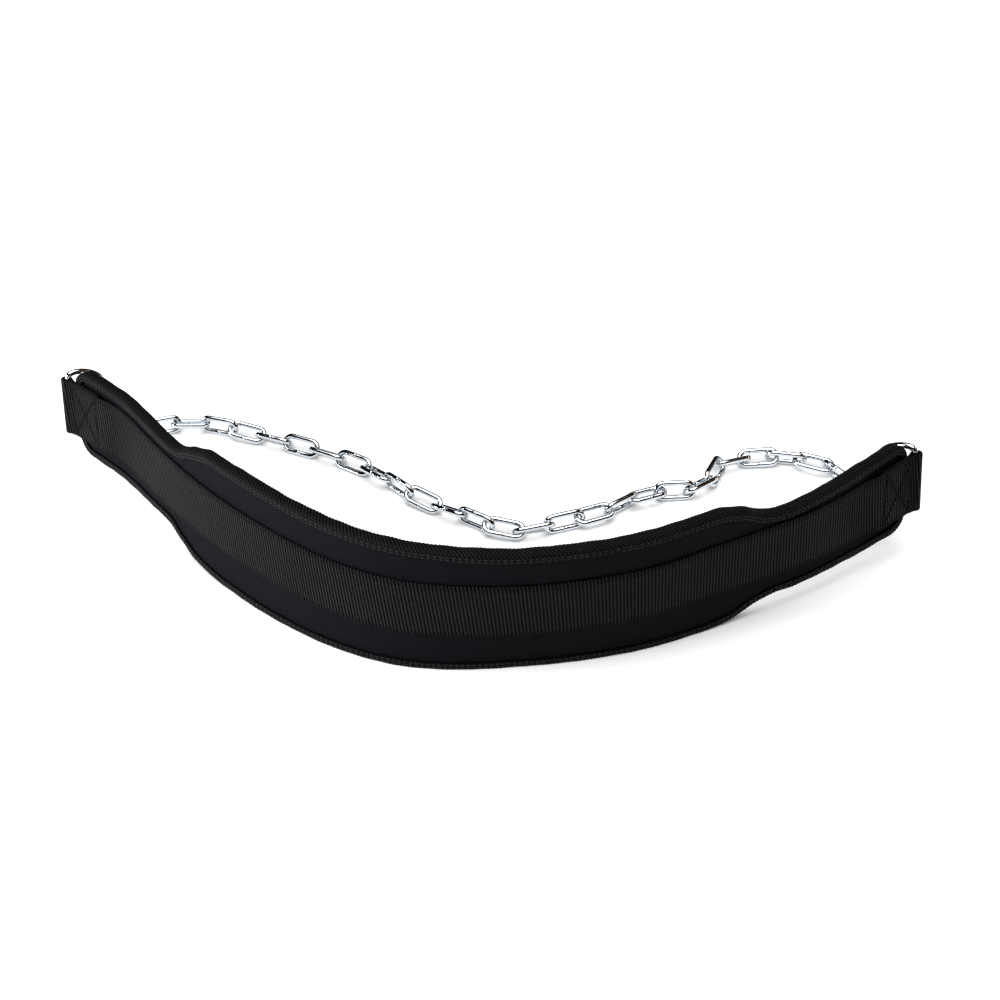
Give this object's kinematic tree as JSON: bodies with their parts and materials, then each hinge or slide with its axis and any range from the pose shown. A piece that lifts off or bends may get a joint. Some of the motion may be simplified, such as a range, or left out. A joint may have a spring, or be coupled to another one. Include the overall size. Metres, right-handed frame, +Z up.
{
  "type": "weight dip belt with chain",
  "caption": "Padded waist belt with a sewn webbing strap, a D-ring in a loop at each end and a welded steel chain between the rings.",
  "frame": {"origin": "middle of the underside of the whole object, on the surface that it stands on", "axes": "+X from the left ring to the right ring, +Z up, -Y out of the belt's outer face at its middle"},
  "size_m": [0.6934, 0.3004, 0.1169],
  "materials": {
    "neoprene": "matte",
    "binding": "matte",
    "webbing": "woven matte",
    "steel": "bright plated"
  },
  "bodies": {
    "root": {"belt_pad": "neoprene", "edge_binding": "binding", "webbing_strap": "webbing", "ring_left": "steel", "ring_right": "steel", "chain_clasp": "steel", "chain_link_01": "steel", "chain_link_02": "steel", "chain_link_03": "steel", "chain_link_04": "steel", "chain_link_05": "steel", "chain_link_06": "steel", "chain_link_07": "steel", "chain_link_08": "steel", "chain_link_09": "steel", "chain_link_10": "steel", "chain_link_11": "steel", "chain_link_12": "steel", "chain_link_13": "steel", "chain_link_14": "steel", "chain_link_15": "steel", "chain_link_16": "steel", "chain_link_17": "steel", "chain_link_18": "steel", "chain_link_19": "steel", "chain_link_20": "steel", "chain_link_21": "steel", "chain_link_22": "steel", "chain_link_23": "steel", "chain_link_24": "steel", "chain_link_25": "steel", "chain_link_26": "steel", "chain_link_27": "steel", "chain_link_28": "steel", "chain_link_29": "steel", "chain_link_30": "steel"}
  },
  "joints": []
}
